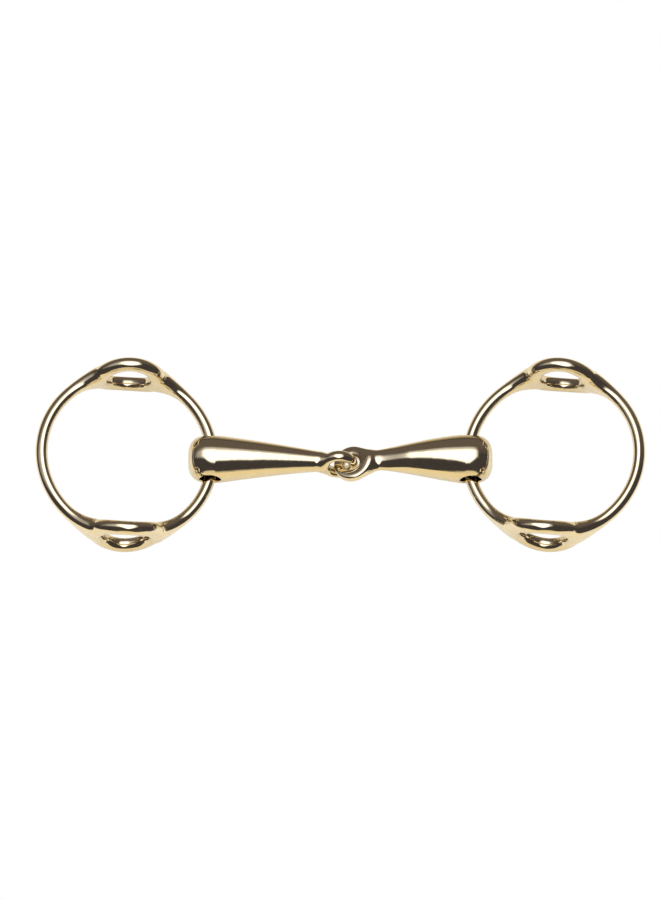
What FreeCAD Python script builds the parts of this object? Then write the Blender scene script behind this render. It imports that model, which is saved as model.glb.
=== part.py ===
import FreeCAD, Part
import math
import os

import Sketcher

# A single-jointed gag snaffle bit with loose rings, lying flat on its ring eyes.
#
# Frame: X runs along the mouthpiece, Y along the holes that the rings run in, Z is up.
# The origin is on the table, under the middle of the bit. Millimetres and degrees.

V = FreeCAD.Vector
doc = FreeCAD.newDocument("snaffle_bit")

# ---------------------------------------------------------------- driving sizes

SIZES = [
    ("ring_radius", 38.8, "ring centre to the middle of its wire"),
    ("wire_dia", 5.5, "ring wire"),
    ("ring_lean", 10, "how far each ring leans in, its outer side raised"),
    ("right_turn", 8, "how far the right ring has run round through its hole"),
    ("right_tip", 1.4, "how far the right ring tips, to stand on both its eyes"),
    ("ring_height", 16.5, "ring centre above the table"),
    ("eye_span", 42, "arc from the middle of an eye to plain wire"),
    ("eye_width", 32.8, "over both bars of an eye"),
    ("eye_depth", 6.2, "eye, measured along its hole"),
    ("eye_hole_dia", 20, "hole for the cheekpiece"),
    ("eye_lip", 1.7, "rounded rim of that hole"),
    ("hole_spacing", 118, "between the two ring holes"),
    ("ring_hole_dia", 9.6, "hole the ring runs in"),
    ("ring_hole_lip", 1.2, "rounded rim of that hole"),
    ("thick_radius", 11.2, "canon at its thick end"),
    ("thick_height", 11.2, "canon axis above the table at the ring hole"),
    ("thick_end", 10.1, "canon end beyond the ring hole"),
    ("dome_radius", 4.5, "rounding of that end"),
    ("link_shift", -0.6, "X of the link between the canons"),
    ("link_drop", -1.9, "Y of that link"),
    ("canon_shift", -0.4, "Y of both canons, slid along their rings"),
    ("upright_roll", 16, "how far the upright loop leans over, about X"),
    ("flat_roll", 8, "how far the flat loop tips off level, about X"),
    ("link_height", 8.7, "link above the table"),
    ("upright_loop_dia", 17.4, "left canon's loop, outside"),
    ("upright_bar_wide", 5.2, "bar of that loop, along the loop's axis"),
    ("upright_bar_deep", 4.2, "the same bar, towards the loop's middle"),
    ("flat_loop_dia", 17, "right canon's loop, outside"),
    ("flat_bar_wide", 4.4, "bar of that loop, along the loop's axis"),
    ("flat_bar_deep", 4.9, "the same bar, towards the loop's middle"),
]

sheet = doc.addObject("Spreadsheet::Sheet", "Sizes")
for row, (alias, value, note) in enumerate(SIZES, start=1):
    sheet.set("A%d" % row, alias.replace("_", " "))
    sheet.set("B%d" % row, str(value))
    sheet.set("C%d" % row, note)
    sheet.setAlias("B%d" % row, alias)
doc.recompute()


def bind(obj, **expressions):
    """Bind properties to expressions; a double underscore stands for a dot."""
    for name, expression in expressions.items():
        obj.setExpression(name.replace("__", "."), expression)
    return obj


def add(kind, name, **expressions):
    return bind(doc.addObject(kind, name), **expressions)


# ---------------------------------------------------------------- sections and lofts

# An eye stands this far proud of the plain wire where it ends.
SEAM_STEP = 0.04


def slot_sketch(name, share, placement):
    """An eye's cross-section: a slot along the sketch's Y, from plain wire (share 0) to full eye (1)."""
    sketch = doc.addObject("Sketcher::SketchObject", name)
    radius = "Sizes.wire_dia / 2 + %g + %.4f * (Sizes.eye_depth - Sizes.wire_dia) / 2" % (SEAM_STEP, share)
    half_length = "%g + %.4f * (Sizes.eye_width - Sizes.eye_depth) / 2" % (SEAM_STEP, share)
    r = sheet.wire_dia / 2 + SEAM_STEP + share * (sheet.eye_depth - sheet.wire_dia) / 2
    flat = SEAM_STEP + share * (sheet.eye_width - sheet.eye_depth) / 2
    up = V(0, 0, 1)
    sketch.addGeometry(Part.ArcOfCircle(Part.Circle(V(0, flat, 0), up, r), 0, math.pi), False)
    sketch.addGeometry(Part.LineSegment(V(-r, flat, 0), V(-r, -flat, 0)), False)
    sketch.addGeometry(Part.ArcOfCircle(Part.Circle(V(0, -flat, 0), up, r), math.pi, 2 * math.pi), False)
    sketch.addGeometry(Part.LineSegment(V(r, -flat, 0), V(r, flat, 0)), False)
    top, left, bottom, right = range(4)
    start, end, centre = 1, 2, 3
    origin, y_axis = (-1, 1), -2
    for a, b in ((top, left), (left, bottom), (bottom, right), (right, top)):
        sketch.addConstraint(Sketcher.Constraint("Tangent", a, end, b, start))
    sketch.addConstraint(Sketcher.Constraint("PointOnObject", top, centre, y_axis))
    sketch.addConstraint(Sketcher.Constraint("Symmetric", top, centre, bottom, centre, *origin))
    length = sketch.addConstraint(
        Sketcher.Constraint("DistanceY", bottom, centre, top, centre, 2 * flat))
    size = sketch.addConstraint(Sketcher.Constraint("Radius", top, r))
    sketch.setExpression("Constraints[%d]" % length, "2 * (%s)" % half_length)
    sketch.setExpression("Constraints[%d]" % size, radius)
    sketch.setExpression("Placement", placement)
    return sketch


def loft(name, sections):
    made = doc.addObject("Part::Loft", name)
    made.Sections = sections
    made.Solid = True
    made.Ruled = False
    made.MaxDegree = 3
    return made


def fuse(name, shapes):
    made = doc.addObject("Part::MultiFuse", name)
    made.Shapes = shapes
    made.Refine = False
    return made


def cut(name, base, tool):
    made = doc.addObject("Part::Cut", name)
    made.Base, made.Tool = base, tool
    made.Refine = False
    return made


def round_edges(name, base, radius, wanted):
    """Fillet those edges of base for which wanted(edge) is true."""
    doc.recompute()
    made = doc.addObject("Part::Fillet", name)
    made.Base = base
    edges = [i for i, edge in enumerate(base.Shape.Edges, start=1) if wanted(edge)]
    if not edges:
        raise RuntimeError("no edge to round for " + name)
    made.Edges = [(i, radius, radius) for i in edges]
    return made


def rim_test(axis, radius, tolerance=0.02):
    """True for an edge that circles the given axis, through the piece's origin, at the given radius."""
    steps = 4

    def wanted(edge):
        first, last = edge.ParameterRange
        for step in range(steps + 1):
            point = edge.valueAt(first + (last - first) * step / steps)
            if abs(point.cross(axis).Length - radius) > tolerance:
                return False
        runs_along_axis = abs(edge.tangentAt((first + last) / 2).dot(axis)) > 0.9
        return not runs_along_axis
    return wanted


def drill_along_y(name, base, diameter, half_length, lip):
    """Cut a round hole along Y through the piece's origin and round its rims."""
    drill = add("Part::Cylinder", name + "_drill", Radius=diameter + " / 2", Height="2 * " + half_length)
    drill.setExpression("Placement",
                        "placement(vector(0; %s; 0); rotation(vector(1; 0; 0); 90))" % half_length)
    drilled = cut(name + "_drilled", base, drill)
    radius = sheet.get(diameter.replace("Sizes.", "")) / 2
    made = round_edges(name, drilled, lip, rim_test(V(0, 1, 0), radius))
    made.Label = name
    return made


# ---------------------------------------------------------------- rings

# An eye's width falls off from its middle like a squared cosine, a little fuller on top.
EYE_STATIONS = 6
EYE_FULLNESS = 1.08


def eye_station(name, side, station):
    """One cross-section of an eye, at its place on the ring; side is 1 or -1 along Y."""
    share = station / EYE_STATIONS
    bell = math.cos(math.pi / 2 * abs(share) ** EYE_FULLNESS) ** 2
    turn = "rotation(vector(0; 0; 1); %d + %.4f * Sizes.eye_span)" % (90 * side, share)
    placement = ("placement(vector(0; 0; 0); %s) * placement(vector(Sizes.ring_radius; 0; 0);"
                 " rotation(vector(1; 0; 0); 90))" % turn)
    return slot_sketch("%s_%d" % (name, station + EYE_STATIONS), bell, placement)


def make_ring(name, placement):
    wire = add("Part::Torus", name + "_wire", Radius1="Sizes.ring_radius", Radius2="Sizes.wire_dia / 2")
    eyes = []
    for side in (1, -1):
        eye = name + ("_far_eye" if side > 0 else "_near_eye")
        stations = [eye_station(eye, side, i) for i in range(-EYE_STATIONS, EYE_STATIONS + 1)]
        eyes.append(loft(eye, stations))
    blank = fuse(name + "_blank", [wire] + eyes)
    ring = drill_along_y(name, blank, "Sizes.eye_hole_dia", "(1.5 * Sizes.ring_radius)", sheet.eye_lip)
    ring.setExpression("Placement", placement)
    return ring


# ---------------------------------------------------------------- canons

# Each canon is drawn from its ring hole, at x = 0, to the link at x = reach.
# A station is (x, share of the thick radius); the bow is how far the canon's middle strays from straight.
LEFT_STATIONS = [(-10.1, 0.77), (-6.8, 0.875), (-3.2, 0.965), (1, 0.99), (8, 0.915), (15.3, 0.82),
                 (31.5, 0.625), (47.2, 0.4375)]
RIGHT_STATIONS = [(-10.1, 0.77), (-6.8, 0.875), (-3.2, 0.965), (2, 1.0), (6.5, 0.965), (11.9, 0.893),
                  (22.7, 0.714), (31.7, 0.567), (39, 0.452)]
LEFT_BOW = 0.4
RIGHT_BOW = -0.8
# The neck's ovals are (distance before the link, share of the drop, half-length, half-thickness).
LEFT_NECK = [(9.3, 0.6, 4.3, 4.2), (6.3, 0.9, 4.1, 2.2)]
RIGHT_NECK = [(16.4, 0.6, 4.8, 3.9), (12.6, 0.9, 5.0, 1.9)]
# The drop is how far the link lies to one side of the canon's line, made up by this much at the neck.
NECK_DROP_SHARE = 0.5


def round_section(name, x, y, share):
    """A circle across the canon, a share of its thick radius; the seam is on the underside."""
    circle = add("Part::Circle", name, Radius="%g * Sizes.thick_radius" % share)
    circle.setExpression("Placement",
                         "placement(vector(%g; %.3f; 0); rotation(vector(0; 1; 0); 90))" % (x, y))
    return circle


def oval_section(name, x, y, major, minor, upright):
    """An ellipse across the canon, its long axis up or along Y, rolled with the loop."""
    oval = add("Part::Ellipse", name, MajorRadius="%g" % major, MinorRadius="%g" % minor)
    if upright:
        face = "rotation(vector(1; 0; 0); -Sizes.upright_roll) * rotation(vector(0; 1; 0); 90)"
    else:
        face = ("rotation(vector(1; 0; 0); Sizes.flat_roll) * rotation(vector(0; 1; 0); 90)"
                " * rotation(vector(0; 0; 1); 90)")
    oval.setExpression("Placement", "placement(vector(%s; %s; 0); %s)" % (x, y, face))
    return oval


def bowed(x, reach, bow, drop):
    """Y of the canon's middle: level at the hole, bowed halfway, part way to the link's drop at the neck."""
    share = min(max(0.0, x / reach), 1.0)
    return bow * math.sin(math.pi * share) + NECK_DROP_SHARE * drop * share ** 2


def taper(name, side, stations, bow, neck, reach, drop):
    """The solid body of a canon, from its blunt end to its oval neck, with the blunt end rounded."""
    reach_now = sheet.hole_spacing / 2 - side * sheet.link_shift
    drop_now = side * (sheet.canon_shift - sheet.link_drop)
    sections = [round_section("%s_section_%d" % (name, i), x, bowed(x, reach_now, bow, drop_now), share)
                for i, (x, share) in enumerate(stations)]
    sections += [oval_section("%s_neck_%d" % (name, i), "%s - %g" % (reach, back),
                              "%g * %s" % (share, drop), major, minor, side < 0)
                 for i, (back, share, major, minor) in enumerate(neck)]
    body = loft(name + "_taper", sections)

    def end_rim(edge):
        return edge.CenterOfMass.x < 0.1 - sheet.thick_end and edge.BoundBox.XLength < 0.01

    return round_edges(name + "_domed", body, sheet.dome_radius, end_rim)


def link_loop(name, side, reach, drop):
    """The loop that ends a canon: upright on the left canon, flat on the right, with an oval bar."""
    loop = "flat" if side > 0 else "upright"
    radius = "(Sizes.%s_loop_dia - Sizes.%s_bar_deep) / 2" % (loop, loop)
    wide_along_axis = sheet.get(loop + "_bar_wide") > sheet.get(loop + "_bar_deep")
    wide, deep = "Sizes.%s_bar_wide / 2" % loop, "Sizes.%s_bar_deep / 2" % loop
    bar = add("Part::Ellipse", name + "_bar", MajorRadius=wide if wide_along_axis else deep,
              MinorRadius=deep if wide_along_axis else wide)
    bar.setExpression("Placement", "placement(vector(%s; 0; 0); rotation(vector(1; 0; 0); 90)"
                                   " * rotation(vector(0; 0; 1); %d))" % (radius, 90 if wide_along_axis else 180))
    turned = doc.addObject("Part::Revolution", name + "_loop")
    turned.Source = bar
    turned.Axis = V(0, 0, 1)
    turned.Angle = 360
    turned.Solid = True
    centre, roll = reach, "90 - Sizes.upright_roll"
    if side > 0:
        centre, roll = reach + " - " + radius, "Sizes.flat_roll"
    turned.setExpression("Placement", "placement(vector(%s; %s; 0); rotation(vector(1; 0; 0); %s))"
                         % (centre, drop, roll))
    return turned


def make_canon(name, side, stations, bow, neck):
    """The canon on one side of the bit (side is -1 or 1 along X), sloping down to the link."""
    reach = "(Sizes.hole_spacing / 2 + %d * Sizes.link_shift)" % -side
    drop = "(%d * (Sizes.canon_shift - Sizes.link_drop))" % side
    body = taper(name, side, stations, bow, neck, reach, drop)
    blank = fuse(name + "_blank", [body, link_loop(name, side, reach, drop)])
    canon = drill_along_y(name, blank, "Sizes.ring_hole_dia", "(2 * Sizes.thick_radius)", sheet.ring_hole_lip)
    turned = "rotation(vector(0; 0; 1); %d)" % (180 if side > 0 else 0)
    slope = "asin((Sizes.thick_height - Sizes.link_height) / %s)" % reach
    canon.setExpression("Placement",
                        "placement(vector(%d * Sizes.hole_spacing / 2; Sizes.canon_shift; Sizes.thick_height);"
                        " %s * rotation(vector(0; 1; 0); %s))" % (side, turned, slope))
    return canon


# ---------------------------------------------------------------- assembly

# The wire curves inside its straight hole: half of that sag is how far its middle sits off the hole's axis.
WIRE_SAG = 0.78


def ring_placement(side, turn, tip):
    """A ring on its side of the bit, leaning in, run round by turn and tipped; side is 1 or -1."""
    offset = "Sizes.hole_spacing / 2 + (Sizes.ring_radius - %g) * cos(Sizes.ring_lean)" % WIRE_SAG
    return ("placement(vector(%d * (%s); 0; Sizes.ring_height); rotation(vector(1; 0; 0); %s)"
            " * rotation(vector(0; 1; 0); %d * Sizes.ring_lean) * rotation(vector(0; 0; 1); %s))"
            % (side, offset, tip, -side, turn))


pieces = [make_ring("left_ring", ring_placement(-1, "0", "0")),
          make_ring("right_ring", ring_placement(1, "-Sizes.right_turn", "-Sizes.right_tip")),
          make_canon("left_canon", -1, LEFT_STATIONS, LEFT_BOW, LEFT_NECK),
          make_canon("right_canon", 1, RIGHT_STATIONS, RIGHT_BOW, RIGHT_NECK)]
doc.recompute()

for obj in doc.Objects:
    if "Invalid" in obj.State or "Error" in obj.State:
        raise RuntimeError("%s did not build: %s" % (obj.Name, obj.State))

os.makedirs("parts", exist_ok=True)
for piece in pieces:
    shape = piece.Shape
    if shape.isNull() or not shape.isValid() or len(shape.Solids) != 1:
        raise RuntimeError("%s is not one valid solid" % piece.Label)
    shape.exportStep("parts/%s.step" % piece.Label)
    box = shape.BoundBox
    print("%-12s volume %8.1f  x %7.2f %7.2f  y %6.2f %6.2f  z %6.2f %6.2f" % (
        piece.Label, shape.Volume, box.XMin, box.XMax, box.YMin, box.YMax, box.ZMin, box.ZMax))
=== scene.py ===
"""A single-jointed gag snaffle bit, lying flat on a pale table under one overhead softbox."""

import math

import bpy
import numpy as np
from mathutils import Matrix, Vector


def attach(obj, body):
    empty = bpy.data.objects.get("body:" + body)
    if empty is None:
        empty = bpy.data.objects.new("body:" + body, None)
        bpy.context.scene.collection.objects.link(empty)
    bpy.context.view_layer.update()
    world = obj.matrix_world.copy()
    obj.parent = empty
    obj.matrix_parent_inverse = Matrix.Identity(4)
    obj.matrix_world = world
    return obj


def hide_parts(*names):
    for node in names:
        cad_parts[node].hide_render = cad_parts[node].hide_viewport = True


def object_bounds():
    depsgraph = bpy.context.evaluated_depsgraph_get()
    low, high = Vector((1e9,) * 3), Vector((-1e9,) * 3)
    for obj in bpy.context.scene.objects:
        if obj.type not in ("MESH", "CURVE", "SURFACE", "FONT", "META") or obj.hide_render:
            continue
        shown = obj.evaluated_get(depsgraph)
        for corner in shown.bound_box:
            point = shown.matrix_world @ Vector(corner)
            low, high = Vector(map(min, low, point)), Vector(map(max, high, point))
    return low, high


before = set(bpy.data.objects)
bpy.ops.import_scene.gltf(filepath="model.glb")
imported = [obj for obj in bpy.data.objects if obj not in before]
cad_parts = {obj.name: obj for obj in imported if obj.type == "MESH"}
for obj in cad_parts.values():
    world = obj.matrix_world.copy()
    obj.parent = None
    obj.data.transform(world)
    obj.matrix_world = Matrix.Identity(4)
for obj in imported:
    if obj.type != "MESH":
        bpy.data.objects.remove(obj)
CAD_BOX = [list(corner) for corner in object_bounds()]
MM = 0.001

# ---------------------------------------------------------------- the object's measurements, in mm
# They follow the CAD model's. Angles are in degrees.

# Every surface is drawn in by this much, to stay inside the CAD model's box.
INSET = 0.03

# Both rings lean in. The right one has also run round through its hole, and tips a little.
RING_RADIUS = 38.8
WIRE_RADIUS = 2.75
RING_LEAN = 10.0
RIGHT_TURN = 8.0
RIGHT_TIP = 1.4
RING_HEIGHT = 16.5
# How far the middle of the wire lies off the axis of its straight hole.
WIRE_SAG = 0.78

# An eye is an oval loop, bored along the ring's radius, and the wire flares out to meet it.
EYE_HALF_LENGTH = 18.0
EYE_HALF_WIDTH = 16.4
EYE_HALF_DEPTH = 3.1
EYE_HOLE = 10.0
EYE_RIM = 3.0
FLARE_START = 31.0
FLARE_LENGTH = 15.0
FLARE_WIDTH = 4.6
FLARE_DEPTH = 0.75
FLARE_BLEND = 1.2

# Each ring hole lies this far out from the middle, at this Y and this height.
HOLE_X = 59.0
HOLE_Y = -0.4
HOLE_Z = 11.2
RING_HOLE = 4.8
RING_HOLE_RIM = 1.2
# The middle of the link between the canons.
LINK = (-0.6, -1.9, 8.7)
THICK_END = 10.1
# The blunt end is a superellipse of this power, which starts at this x.
BLUNT_POWER = 3
BLUNT_START = 2.0
FLATTEN_START = 27.0
# The taper ends at the neck in a tip rounded to this radius, which is drawn from TIP_START before it.
TIP_RADIUS = 2.6
TIP_START = 8
# A canon's middle strays this far from straight halfway, and by this share of the link's offset at the end.
LEFT_BOW = 0.4
RIGHT_BOW = -0.8
NECK_DROP_SHARE = 0.5
# Each neck is (distance before the link, thickness as a share of width, blend into the loop).
LEFT_NECK = (5.6, 1.0, 3.5)
RIGHT_NECK = (12.5, 0.6, 5.0)
# Each station is (x from the ring hole, radius); a cubic is fitted through them.
LEFT_STATIONS = [(1, 11.1), (8, 10.25), (15.3, 9.2), (31.5, 7.0), (47.2, 4.9)]
RIGHT_STATIONS = [(2, 11.2), (6.5, 10.8), (11.9, 10.0), (22.7, 8.0), (31.7, 6.35), (39, 5.1), (44, 4.5)]


# ---------------------------------------------------------------- fields: negative inside, in mm

X, Y, Z = range(3)


def turn(axis, degrees):
    """The matrix of a turn about one axis."""
    cosine = math.cos(math.radians(degrees))
    sine = math.sin(math.radians(degrees))
    first, second = [(Y, Z), (Z, X), (X, Y)][axis]
    matrix = np.eye(3)
    matrix[first, first] = cosine
    matrix[second, second] = cosine
    matrix[first, second] = -sine
    matrix[second, first] = sine
    return matrix


def smooth_max(a, b, width):
    """The larger of two fields, rounded over this width where they meet."""
    share = np.clip(0.5 + 0.5 * (a - b) / width, 0, 1)
    return b + (a - b) * share + width * share * (1 - share)


def smooth_min(a, b, width):
    return -smooth_max(-a, -b, width)


def stadium(width, thickness, across, through):
    """Distance from a flat bar with round edges, given its half-width and half-thickness."""
    return np.hypot(np.maximum(np.abs(across) - width + thickness, 0), through) - thickness


def ring_field(p):
    """A ring in its own frame: wire in the XY plane, eyes at +Y and -Y, bored along Y."""
    tiny = 1e-6
    least_rate = 1e-3
    x, y, z = p[:, 0], p[:, 1], p[:, 2]
    radial = np.hypot(x, y) - RING_RADIUS
    along = RING_RADIUS * np.arctan2(x, np.abs(y))
    share = np.clip((FLARE_START - np.abs(along)) / FLARE_LENGTH, 0, 1)
    slope = 2 * FLARE_WIDTH * share / FLARE_LENGTH
    flare = stadium(WIRE_RADIUS + FLARE_WIDTH * share ** 2, WIRE_RADIUS + FLARE_DEPTH * share ** 2, z, radial)
    flare = flare / np.sqrt(1 + slope ** 2)
    reach = np.hypot(along / EYE_HALF_LENGTH, z / EYE_HALF_WIDTH)
    rate = np.hypot(along / EYE_HALF_LENGTH ** 2, z / EYE_HALF_WIDTH ** 2) / np.maximum(reach, tiny)
    outline = (reach - 1) / np.maximum(rate, least_rate)
    loop = np.hypot(np.maximum(outline + EYE_HALF_DEPTH, 0), radial) - EYE_HALF_DEPTH
    hole = EYE_HOLE - np.hypot(RING_RADIUS * np.sin(along / RING_RADIUS), z)
    return smooth_max(smooth_min(loop, flare, FLARE_BLEND), hole, EYE_RIM) + INSET


def loop_field(p, centre, loop, axis, roll, pitch=0.0):
    """A loop about one axis, then rolled about X and pitched about Y; its bar is an oval of its power."""
    radius, deep, wide, power = loop
    q = (p - np.array(centre)) @ (turn(Y, pitch) @ turn(X, roll))
    flat = [i for i in (X, Y, Z) if i != axis]
    around = np.abs(np.hypot(q[:, flat[0]], q[:, flat[1]]) - radius) / deep
    across = np.abs(q[:, axis]) / wide
    return min(deep, wide) * ((around ** power + across ** power) ** (1 / power) - 1)


def canon_field(p, stations, reach, bow, drop, neck_sizes, loop):
    """A canon in its own frame: x runs from its ring hole to the link, and the taper ends at the neck."""
    before_link, thin, blend = neck_sizes
    neck = reach - before_link
    x, y, z = p[:, 0], p[:, 1], p[:, 2]
    share = np.clip(x / reach, 0, 1)
    middle = bow * np.sin(math.pi * share) + NECK_DROP_SHARE * drop * share ** 2
    taper = np.polyfit([at for at, _ in stations], [size for _, size in stations], deg=3)
    inside_x = np.clip(x, BLUNT_START, neck)
    radius = np.polyval(taper, inside_x)
    slope = np.polyval(np.polyder(taper), inside_x)
    towards_end = np.maximum(BLUNT_START - x, 0) / (BLUNT_START + THICK_END)
    towards_neck = np.clip((x - FLATTEN_START) / (neck - FLATTEN_START), 0, 1)
    flat = 1 - (1 - thin) * towards_neck ** 2 * (3 - 2 * towards_neck)
    out = np.hypot(y - middle, z / flat) / radius
    swell = (towards_end ** BLUNT_POWER + out ** BLUNT_POWER) ** (1 / BLUNT_POWER)
    side = flat * radius * (swell - 1) / np.sqrt(1 + slope ** 2)
    rounded = np.hypot(np.maximum(side + TIP_RADIUS, 0), np.maximum(x - neck + TIP_RADIUS, 0)) - TIP_RADIUS
    tip = np.where(side + TIP_RADIUS > 0, rounded, np.maximum(side, x - neck))
    body = np.where(x > neck - TIP_START, tip, side)
    joined = smooth_min(body, loop(p), blend)
    hole = RING_HOLE - np.hypot(x, z)
    return smooth_max(joined, hole, RING_HOLE_RIM) + INSET


LINK_DROP = LINK[Y] - HOLE_Y
LEFT_REACH = HOLE_X + LINK[X]
RIGHT_REACH = HOLE_X - LINK[X]
# Each loop is (radius to the middle of its bar, bar's half-depth, its half-width along the axis, power).
UPRIGHT_LOOP = (6.6, 2.1, 2.6, 2.0)
UPRIGHT_ROLL = 16
FLAT_LOOP = (6.05, 2.45, 2.2, 3.6)
FLAT_ROLL = 11
FLAT_PITCH = 12


def left_canon_field(p):
    def loop(q):
        return loop_field(q, (LEFT_REACH, LINK_DROP, 0), UPRIGHT_LOOP, axis=Y, roll=-UPRIGHT_ROLL)
    return canon_field(p, LEFT_STATIONS, LEFT_REACH, LEFT_BOW, LINK_DROP, LEFT_NECK, loop)


def right_canon_field(p):
    def loop(q):
        centre = (RIGHT_REACH - FLAT_LOOP[0], -LINK_DROP, 0)
        return loop_field(q, centre, FLAT_LOOP, axis=Z, roll=FLAT_ROLL, pitch=FLAT_PITCH)
    return canon_field(p, RIGHT_STATIONS, RIGHT_REACH, RIGHT_BOW, -LINK_DROP, RIGHT_NECK, loop)


# ---------------------------------------------------------------- fields to meshes

CELL = 0.45
SETTLE_ROUNDS = 4
RELAX_ROUNDS = 6
# How far each relaxing round moves a point towards the middle of its neighbours.
RELAX_SHARE = 0.5


def gradient(field, p, step=0.02):
    """The field's slope at each point."""
    slopes = []
    for axis in (X, Y, Z):
        nudge = np.zeros(3)
        nudge[axis] = step
        slopes.append((field(p + nudge) - field(p - nudge)) / (2 * step))
    return np.stack(slopes, 1)


def settle(field, p, rounds):
    """Moves points along the slope until they lie on the surface."""
    tiny = 1e-6
    for _ in range(rounds):
        slope = gradient(field, p)
        p = p - slope * (field(p) / np.maximum((slope * slope).sum(1), tiny))[:, None]
    return p


def evaluate(field, axes, chunk=400000):
    """The field's values on a grid, worked out in chunks to save memory."""
    grid = np.stack(np.meshgrid(*axes, indexing="ij"), -1).reshape(-1, 3)
    values = np.concatenate([field(grid[i:i + chunk]) for i in range(0, len(grid), chunk)])
    return values.reshape([len(a) for a in axes])


def surface_of(field, low, high, step):
    """Vertices and quads of the surface where the field is zero (surface nets)."""
    axes = [np.arange(a - step, b + 2 * step, step) for a, b in zip(low, high)]
    inside = evaluate(field, axes) < 0
    corners = [inside[i:inside.shape[0] - 1 + i, j:inside.shape[1] - 1 + j, k:inside.shape[2] - 1 + k]
               for i in (0, 1) for j in (0, 1) for k in (0, 1)]
    count = sum(c.astype(np.int8) for c in corners)
    mixed = (count > 0) & (count < 8)
    number = np.full(mixed.shape, -1, np.int64)
    number[mixed] = np.arange(mixed.sum())
    cells = np.argwhere(mixed)
    points = np.stack([axes[i][cells[:, i]] + step / 2 for i in (X, Y, Z)], 1)
    quads = []
    for axis in (X, Y, Z):
        first = np.moveaxis(inside, axis, 0)
        cell = np.moveaxis(number, axis, 0)
        here, there = first[:-1, 1:-1, 1:-1], first[1:, 1:-1, 1:-1]
        for leaving in (True, False):
            crossing = (here & ~there) if leaving else (~here & there)
            i, j, k = np.nonzero(crossing)
            around = [cell[i, j, k], cell[i, j + 1, k], cell[i, j + 1, k + 1], cell[i, j, k + 1]]
            # Bringing Y to the front mirrors the axes, so its quads wind the other way.
            forward = leaving != (axis == Y)
            quads.append(np.stack(around if forward else around[::-1], 1))
    quads = np.concatenate(quads)
    return points, quads


def relax(field, points, quads, rounds):
    """Evens out the quads while keeping every point on the surface."""
    a = quads.ravel()
    b = np.roll(quads, 1, axis=1).ravel()
    for _ in range(rounds):
        total = np.zeros_like(points)
        count = np.zeros(len(points))
        for one, other in ((a, b), (b, a)):
            np.add.at(total, one, points[other])
            np.add.at(count, one, 1)
        points = settle(field, points + RELAX_SHARE * (total / count[:, None] - points), 1)
    return settle(field, points, 3)


def make_piece(name, node, field, low, high, rotation, place):
    """A mesh of the field, placed in the bit, that stands for a CAD node and rides with its body."""
    points, quads = surface_of(field, low, high, CELL)
    points = settle(field, points, SETTLE_ROUNDS)
    points = relax(field, points, quads, RELAX_ROUNDS)
    normals = gradient(field, points)
    normals /= np.linalg.norm(normals, axis=1)[:, None]
    points = points @ rotation.T + np.array(place)
    normals = normals @ rotation.T
    mesh = bpy.data.meshes.new(name)
    mesh.from_pydata((points * MM).tolist(), [], quads.tolist())
    mesh.shade_smooth()
    mesh.normals_split_custom_set_from_vertices(normals.tolist())
    piece = bpy.data.objects.new(name, mesh)
    bpy.context.scene.collection.objects.link(piece)
    piece.data.materials.append(ALLOY)
    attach(piece, node)
    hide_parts(node)
    return piece


# ---------------------------------------------------------------- material


def new_node(tree, kind, links=(), **values):
    """Adds a node, sets its inputs and properties, and links (output socket, input name) pairs."""
    node = tree.nodes.new(kind)
    for key, value in values.items():
        if hasattr(node, key):
            setattr(node, key, value)
        else:
            node.inputs[key.replace("_", " ")].default_value = value
    for source, target in links:
        tree.links.new(source, node.inputs[target])
    return node


def ramp(tree, source, stops):
    """A colour ramp from (position, colour) stops."""
    node = new_node(tree, "ShaderNodeValToRGB", [(source, "Fac")])
    elements = node.color_ramp.elements
    while len(elements) > 1:
        elements.remove(elements[-1])
    for i, (position, colour) in enumerate(stops):
        element = elements[0] if i == 0 else elements.new(position)
        element.position = position
        element.color = (*colour, 1)
    return node


ALLOY_TINTS = [(0.3, (0.79, 0.685, 0.49)), (0.7, (0.83, 0.73, 0.54))]


def make_alloy():
    """Polished pale gold alloy: fine buffing marks, faint waviness and a slightly duller film."""
    material = bpy.data.materials.new("pale_gold_alloy")
    material.use_nodes = True
    tree = material.node_tree
    shader = tree.nodes["Principled BSDF"]
    where = new_node(tree, "ShaderNodeTexCoord").outputs["Object"]
    film = new_node(tree, "ShaderNodeTexNoise", [(where, "Vector")], Scale=140.0, Detail=5.0, Roughness=0.6)
    tint = ramp(tree, film.outputs["Fac"], ALLOY_TINTS)
    tree.links.new(tint.outputs["Color"], shader.inputs["Base Color"])
    shader.inputs["Metallic"].default_value = 1.0
    dull = new_node(tree, "ShaderNodeTexNoise", [(where, "Vector")], Scale=420.0, Detail=6.0, Roughness=0.65)
    rough = new_node(tree, "ShaderNodeMapRange", [(dull.outputs["Fac"], "Value")])
    rough.inputs["From Min"].default_value = 0.35
    rough.inputs["From Max"].default_value = 0.75
    rough.inputs["To Min"].default_value = 0.05
    rough.inputs["To Max"].default_value = 0.12
    tree.links.new(rough.outputs["Result"], shader.inputs["Roughness"])
    wave = new_node(tree, "ShaderNodeTexNoise", [(where, "Vector")], Scale=110.0, Detail=2.0)
    stretched = new_node(tree, "ShaderNodeMapping", [(where, "Vector")])
    stretched.inputs["Scale"].default_value = (1.0, 9.0, 9.0)
    marks = new_node(tree, "ShaderNodeTexNoise", [(stretched.outputs["Vector"], "Vector")],
                     Scale=900.0, Detail=3.0, Roughness=0.6)
    slow = new_node(tree, "ShaderNodeBump", [(wave.outputs["Fac"], "Height")],
                    Strength=0.35, Distance=0.00022)
    fine = new_node(tree, "ShaderNodeBump",
                    [(marks.outputs["Fac"], "Height"), (slow.outputs["Normal"], "Normal")],
                    Strength=0.25, Distance=0.00001)
    tree.links.new(fine.outputs["Normal"], shader.inputs["Normal"])
    return material


ALLOY = make_alloy()

# ---------------------------------------------------------------- the pieces

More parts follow.
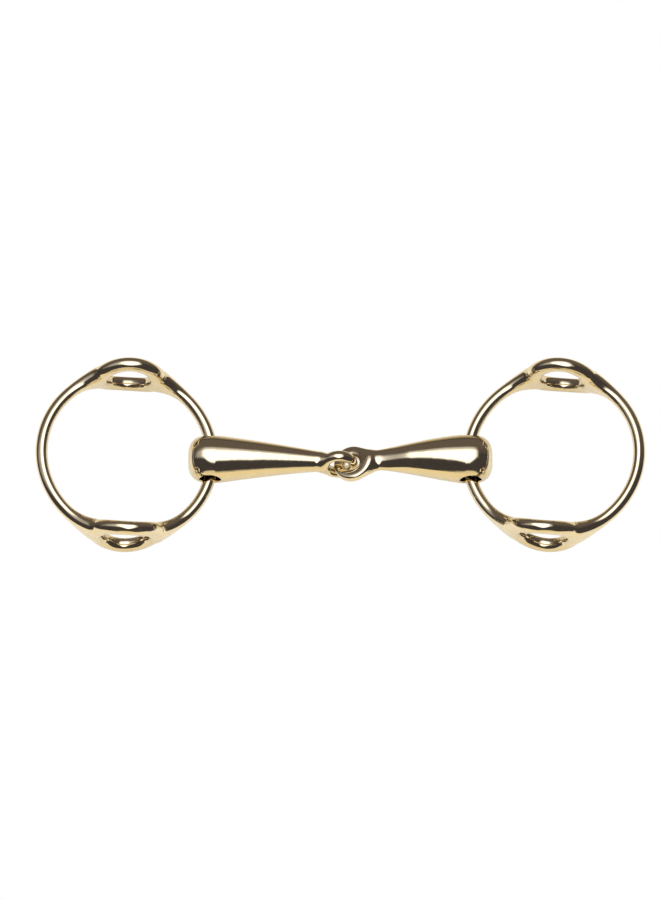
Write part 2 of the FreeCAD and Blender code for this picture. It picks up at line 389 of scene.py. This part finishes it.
# Each field is meshed inside a box of (low corner, high corner), in its own frame.
RING_BOX = ((-42.5, -43, -17), (42.5, 43, 17))
LEFT_CANON_BOX = ((-10.6, -12, -12), (68, 12, 12))
RIGHT_CANON_BOX = ((-10.5, -12, -12), (63, 12, 12))


def make_rings():
    """Both rings, leaning in from their holes; the right one is also turned and tipped."""
    out = HOLE_X + (RING_RADIUS - WIRE_SAG) * math.cos(math.radians(RING_LEAN))
    left_turn = turn(Y, RING_LEAN)
    right_turn = turn(X, -RIGHT_TIP) @ turn(Y, -RING_LEAN) @ turn(Z, -RIGHT_TURN)
    make_piece("ring_left", "left_ring", ring_field, *RING_BOX, left_turn, (-out, 0, RING_HEIGHT))
    make_piece("ring_right", "right_ring", ring_field, *RING_BOX, right_turn, (out, 0, RING_HEIGHT))


def make_canons():
    """Both canons, sloping down from their ring holes to the link."""
    fall = HOLE_Z - LINK[Z]
    left_slope = math.degrees(math.asin(fall / LEFT_REACH))
    right_slope = math.degrees(math.asin(fall / RIGHT_REACH))
    make_piece("canon_left", "left_canon", left_canon_field, *LEFT_CANON_BOX,
               turn(Y, left_slope), (-HOLE_X, HOLE_Y, HOLE_Z))
    make_piece("canon_right", "right_canon", right_canon_field, *RIGHT_CANON_BOX,
               turn(Z, 180) @ turn(Y, right_slope), (HOLE_X, HOLE_Y, HOLE_Z))


make_rings()
make_canons()

# ---------------------------------------------------------------- studio


def calc(tree, operation, *inputs):
    """A math node; each input is a number or a socket."""
    node = new_node(tree, "ShaderNodeMath", operation=operation)
    for i, value in enumerate(inputs):
        if isinstance(value, (int, float)):
            node.inputs[i].default_value = value
        else:
            tree.links.new(value, node.inputs[i])
    return node.outputs[0]


def blend_colours(tree, share, first, second):
    """A mix node; each colour is a triple or a socket."""
    node = new_node(tree, "ShaderNodeMix", data_type="RGBA")
    tree.links.new(share, node.inputs[0])
    # The colour sockets come after those for numbers and vectors.
    for slot, value in ((6, first), (7, second)):
        if isinstance(value, tuple):
            node.inputs[slot].default_value = (*value, 1)
        else:
            tree.links.new(value, node.inputs[slot])
    return node.outputs[2]


def soft_step(tree, source, start, end):
    """0 before start and 1 after end, eased between."""
    node = new_node(tree, "ShaderNodeMapRange", [(source, "Value")])
    node.interpolation_type = "SMOOTHERSTEP"
    node.inputs["From Min"].default_value = start
    node.inputs["From Max"].default_value = end
    return node.outputs["Result"]


def add_shaders(tree, first, second):
    """A shader that is the sum of two."""
    both = new_node(tree, "ShaderNodeAddShader")
    tree.links.new(first.outputs[0], both.inputs[0])
    tree.links.new(second.outputs[0], both.inputs[1])
    return both


def set_surface(tree, shader):
    tree.links.new(shader.outputs[0], tree.nodes["Material Output"].inputs["Surface"])


def make_sheet(name, x_span, y_span, height):
    """A flat rectangle that belongs to the studio, with a material of its own."""
    (left, right), (front, back) = x_span, y_span
    corners = [(left, front, 0), (right, front, 0), (right, back, 0), (left, back, 0)]
    mesh = bpy.data.meshes.new(name)
    mesh.from_pydata(corners, [], [(0, 1, 2, 3)])
    sheet = bpy.data.objects.new(name, mesh)
    sheet.location.z = height
    bpy.context.scene.collection.objects.link(sheet)
    material = bpy.data.materials.new(name + "_material")
    material.use_nodes = True
    mesh.materials.append(material)
    return sheet, material.node_tree


# Metres from here on.
TABLE_X = (-0.30, 0.30)
TABLE_Y = (-3.0, 0.40)
TABLE_GAP = 0.00005
# The table's pale colour with painted shade and painted warm light, against the Y of the direction it is seen
# from: -1 looks along it towards +Y.
TABLE_PAINTED_LIGHT_AND_SHADE = [(-1.0, (0.20, 0.165, 0.115)), (-0.93, (0.34, 0.27, 0.17)), (-0.78, (0.85, 0.76, 0.58)),
              (0.0, (0.97, 0.94, 0.87)), (0.75, (0.93, 0.85, 0.66)), (1.0, (0.88, 0.74, 0.44))]
# Painted shade: seen at a low angle it is painted as dark as the room, but for its front.
TABLE_PAINTED_SHADE = (0.07, 0.06, 0.05)
TABLE_STEEP = (0.10, 0.32)
TABLE_IN_FRONT = (0.45, 0.80)
# A painted glow: the table gives off light in its own painted colour, though it is no lamp, so the metal
# mirrors it brighter.
TABLE_PAINTED_GLOW = 0.14


def make_floor():
    """A pale table that the metal mirrors, painted with shade and warm light that change with the direction
    it is seen from, and glowing a little.

    The camera looks past it to the same plain white, so that a piece folded below it stays in view.
    """
    table, tree = make_sheet("table_top", TABLE_X, TABLE_Y, CAD_BOX[0][Z] - TABLE_GAP)
    table.visible_camera = False
    shader = tree.nodes["Principled BSDF"]
    seen_from = new_node(tree, "ShaderNodeSeparateXYZ",
                         [(new_node(tree, "ShaderNodeNewGeometry").outputs["Incoming"], "Vector")])
    share = calc(tree, "MULTIPLY_ADD", seen_from.outputs["Y"], 0.5, 0.5)
    # The table's painted light and shade, picked by the direction it is seen from.
    tint = ramp(tree, share, [(0.5 + 0.5 * y, colour) for y, colour in TABLE_PAINTED_LIGHT_AND_SHADE])
    steep = soft_step(tree, seen_from.outputs["Z"], *TABLE_STEEP)
    in_front = soft_step(tree, seen_from.outputs["Y"], *TABLE_IN_FRONT)
    # Painted shade: seen at a low angle, but for its front, the table takes the dark painted shade colour.
    painted_table_light = blend_colours(tree, calc(tree, "MAXIMUM", steep, in_front), TABLE_PAINTED_SHADE, tint.outputs["Color"])
    tree.links.new(painted_table_light, shader.inputs["Base Color"])
    shader.inputs["Roughness"].default_value = 0.8
    shader.inputs["Specular IOR Level"].default_value = 0.0
    # The painted glow, in the table's painted colour.
    glow = new_node(tree, "ShaderNodeEmission")
    tree.links.new(painted_table_light, glow.inputs["Color"])
    glow.inputs["Strength"].default_value = TABLE_PAINTED_GLOW
    # From below the table is clear, so that a piece folded under it still mirrors the panel.
    one_sided = new_node(tree, "ShaderNodeMixShader")
    from_below = new_node(tree, "ShaderNodeNewGeometry").outputs["Backfacing"]
    tree.links.new(from_below, one_sided.inputs[0])
    tree.links.new(add_shaders(tree, shader, glow).outputs[0], one_sided.inputs[1])
    clear = new_node(tree, "ShaderNodeBsdfTransparent")
    tree.links.new(clear.outputs[0], one_sided.inputs[2])
    set_surface(tree, one_sided)


SOFTBOX_HEIGHT = 0.44
SOFTBOX_X = (-1.5, 0.7)
SOFTBOX_Y = (-0.44, 0.45)
SOFTBOX_RADIANCE = 1.9
# Its brightness over X and over Y, as (metres, share of full).
SOFTBOX_ACROSS = [(-1.4, 0.03), (-0.75, 0.09), (-0.44, 0.2), (-0.30, 0.26),
                  (-0.12, 1.0), (0.09, 1.0), (0.26, 0.0)]
SOFTBOX_ALONG = [(-0.44, 1.0), (0.17, 1.0), (0.28, 0.35), (0.44, 0.0)]
# Its front edge lies at this Y. A rounded tongue reaches further out over the middle of the bit.
SOFTBOX_FRONT = -0.07
SOFTBOX_TONGUE = 0.24
SOFTBOX_TONGUE_SHAPE = [(-0.20, 0.0), (0.0, 1.0), (0.20, 0.0)]
SOFTBOX_EDGE = (-0.08, 0.09)


def make_softbox():
    """An overhead panel that only the metal mirrors: bright core, soft edges, a long glow to the left."""
    box, tree = make_sheet("softbox", SOFTBOX_X, SOFTBOX_Y, SOFTBOX_HEIGHT)
    box.visible_camera = False
    box.visible_diffuse = False
    box.visible_shadow = False
    where = new_node(tree, "ShaderNodeSeparateXYZ",
                     [(new_node(tree, "ShaderNodeTexCoord").outputs["Object"], "Vector")])

    def profile(axis, span, stops):
        """A level over one axis of the panel from (metres, level) stops, eased between them."""
        place = new_node(tree, "ShaderNodeMapRange", [(where.outputs[axis], "Value")])
        place.inputs["From Min"].default_value, place.inputs["From Max"].default_value = span
        shades = [((at - span[0]) / (span[1] - span[0]), (level,) * 3) for at, level in stops]
        node = ramp(tree, place.outputs["Result"], shades)
        node.color_ramp.interpolation = "EASE"
        return node.outputs["Color"]

    across = profile("X", SOFTBOX_X, SOFTBOX_ACROSS)
    along = profile("Y", SOFTBOX_Y, SOFTBOX_ALONG)
    tongue = profile("X", SOFTBOX_X, SOFTBOX_TONGUE_SHAPE)
    front_edge = calc(tree, "MULTIPLY_ADD", tongue, -SOFTBOX_TONGUE, SOFTBOX_FRONT)
    inside = soft_step(tree, calc(tree, "SUBTRACT", where.outputs["Y"], front_edge), *SOFTBOX_EDGE)
    strength = calc(tree, "MULTIPLY", calc(tree, "MULTIPLY", across, along), SOFTBOX_RADIANCE)
    strength = calc(tree, "MULTIPLY", strength, inside)
    glow = new_node(tree, "ShaderNodeEmission")
    tree.links.new(strength, glow.inputs["Strength"])
    clear = new_node(tree, "ShaderNodeBsdfTransparent")
    set_surface(tree, add_shaders(tree, glow, clear))


FRONT = (0.056, 0.050, 0.052)
FRONT_GLOW = (0.86, 0.76, 0.50)
BACK = (0.14, 0.115, 0.10)
# The room's colours against how far towards the back a ray points, from 0 to 1.
ROOM = [(0.012, FRONT_GLOW), (0.025, FRONT), (0.55, FRONT), (0.85, BACK)]
WHITE = (1.0, 1.0, 1.0)


def make_world():
    """Mirrored rays see a dim room with a light low in front; everything else sees white."""
    world = bpy.data.worlds.new("studio")
    bpy.context.scene.world = world
    world.use_nodes = True
    tree = world.node_tree
    direction = new_node(tree, "ShaderNodeTexCoord").outputs["Generated"]
    parts = new_node(tree, "ShaderNodeSeparateXYZ", [(direction, "Vector")])
    towards_back = calc(tree, "MULTIPLY_ADD", parts.outputs["Y"], 0.5, 0.5)
    room = ramp(tree, towards_back, ROOM)
    is_mirrored = new_node(tree, "ShaderNodeLightPath").outputs["Is Glossy Ray"]
    seen = blend_colours(tree, is_mirrored, WHITE, room.outputs["Color"])
    tree.links.new(seen, tree.nodes["Background"].inputs["Color"])


CAMERA_ELEVATION = math.radians(71.25)
CAMERA_DISTANCE = 1.5
CAMERA_LENS = 131
CAMERA_SENSOR = 36
# The camera aims here, so that the bit sits a little right of and below the middle of the frame.
CAMERA_AIM = Vector((-0.0047, 0.00786, 0))


def make_camera():
    """A long lens, high in front of the bit."""
    data = bpy.data.cameras.new("camera")
    data.sensor_width = CAMERA_SENSOR
    data.lens = CAMERA_LENS
    camera = bpy.data.objects.new("camera", data)
    bpy.context.scene.collection.objects.link(camera)
    back = Vector((0, -math.cos(CAMERA_ELEVATION), math.sin(CAMERA_ELEVATION)))
    camera.location = CAMERA_AIM + back * CAMERA_DISTANCE
    camera.rotation_euler = back.to_track_quat("Z", "Y").to_euler()
    return camera


make_floor()
make_softbox()
make_world()
bpy.context.scene.camera = make_camera()
bpy.context.scene.view_settings.view_transform = "Standard"
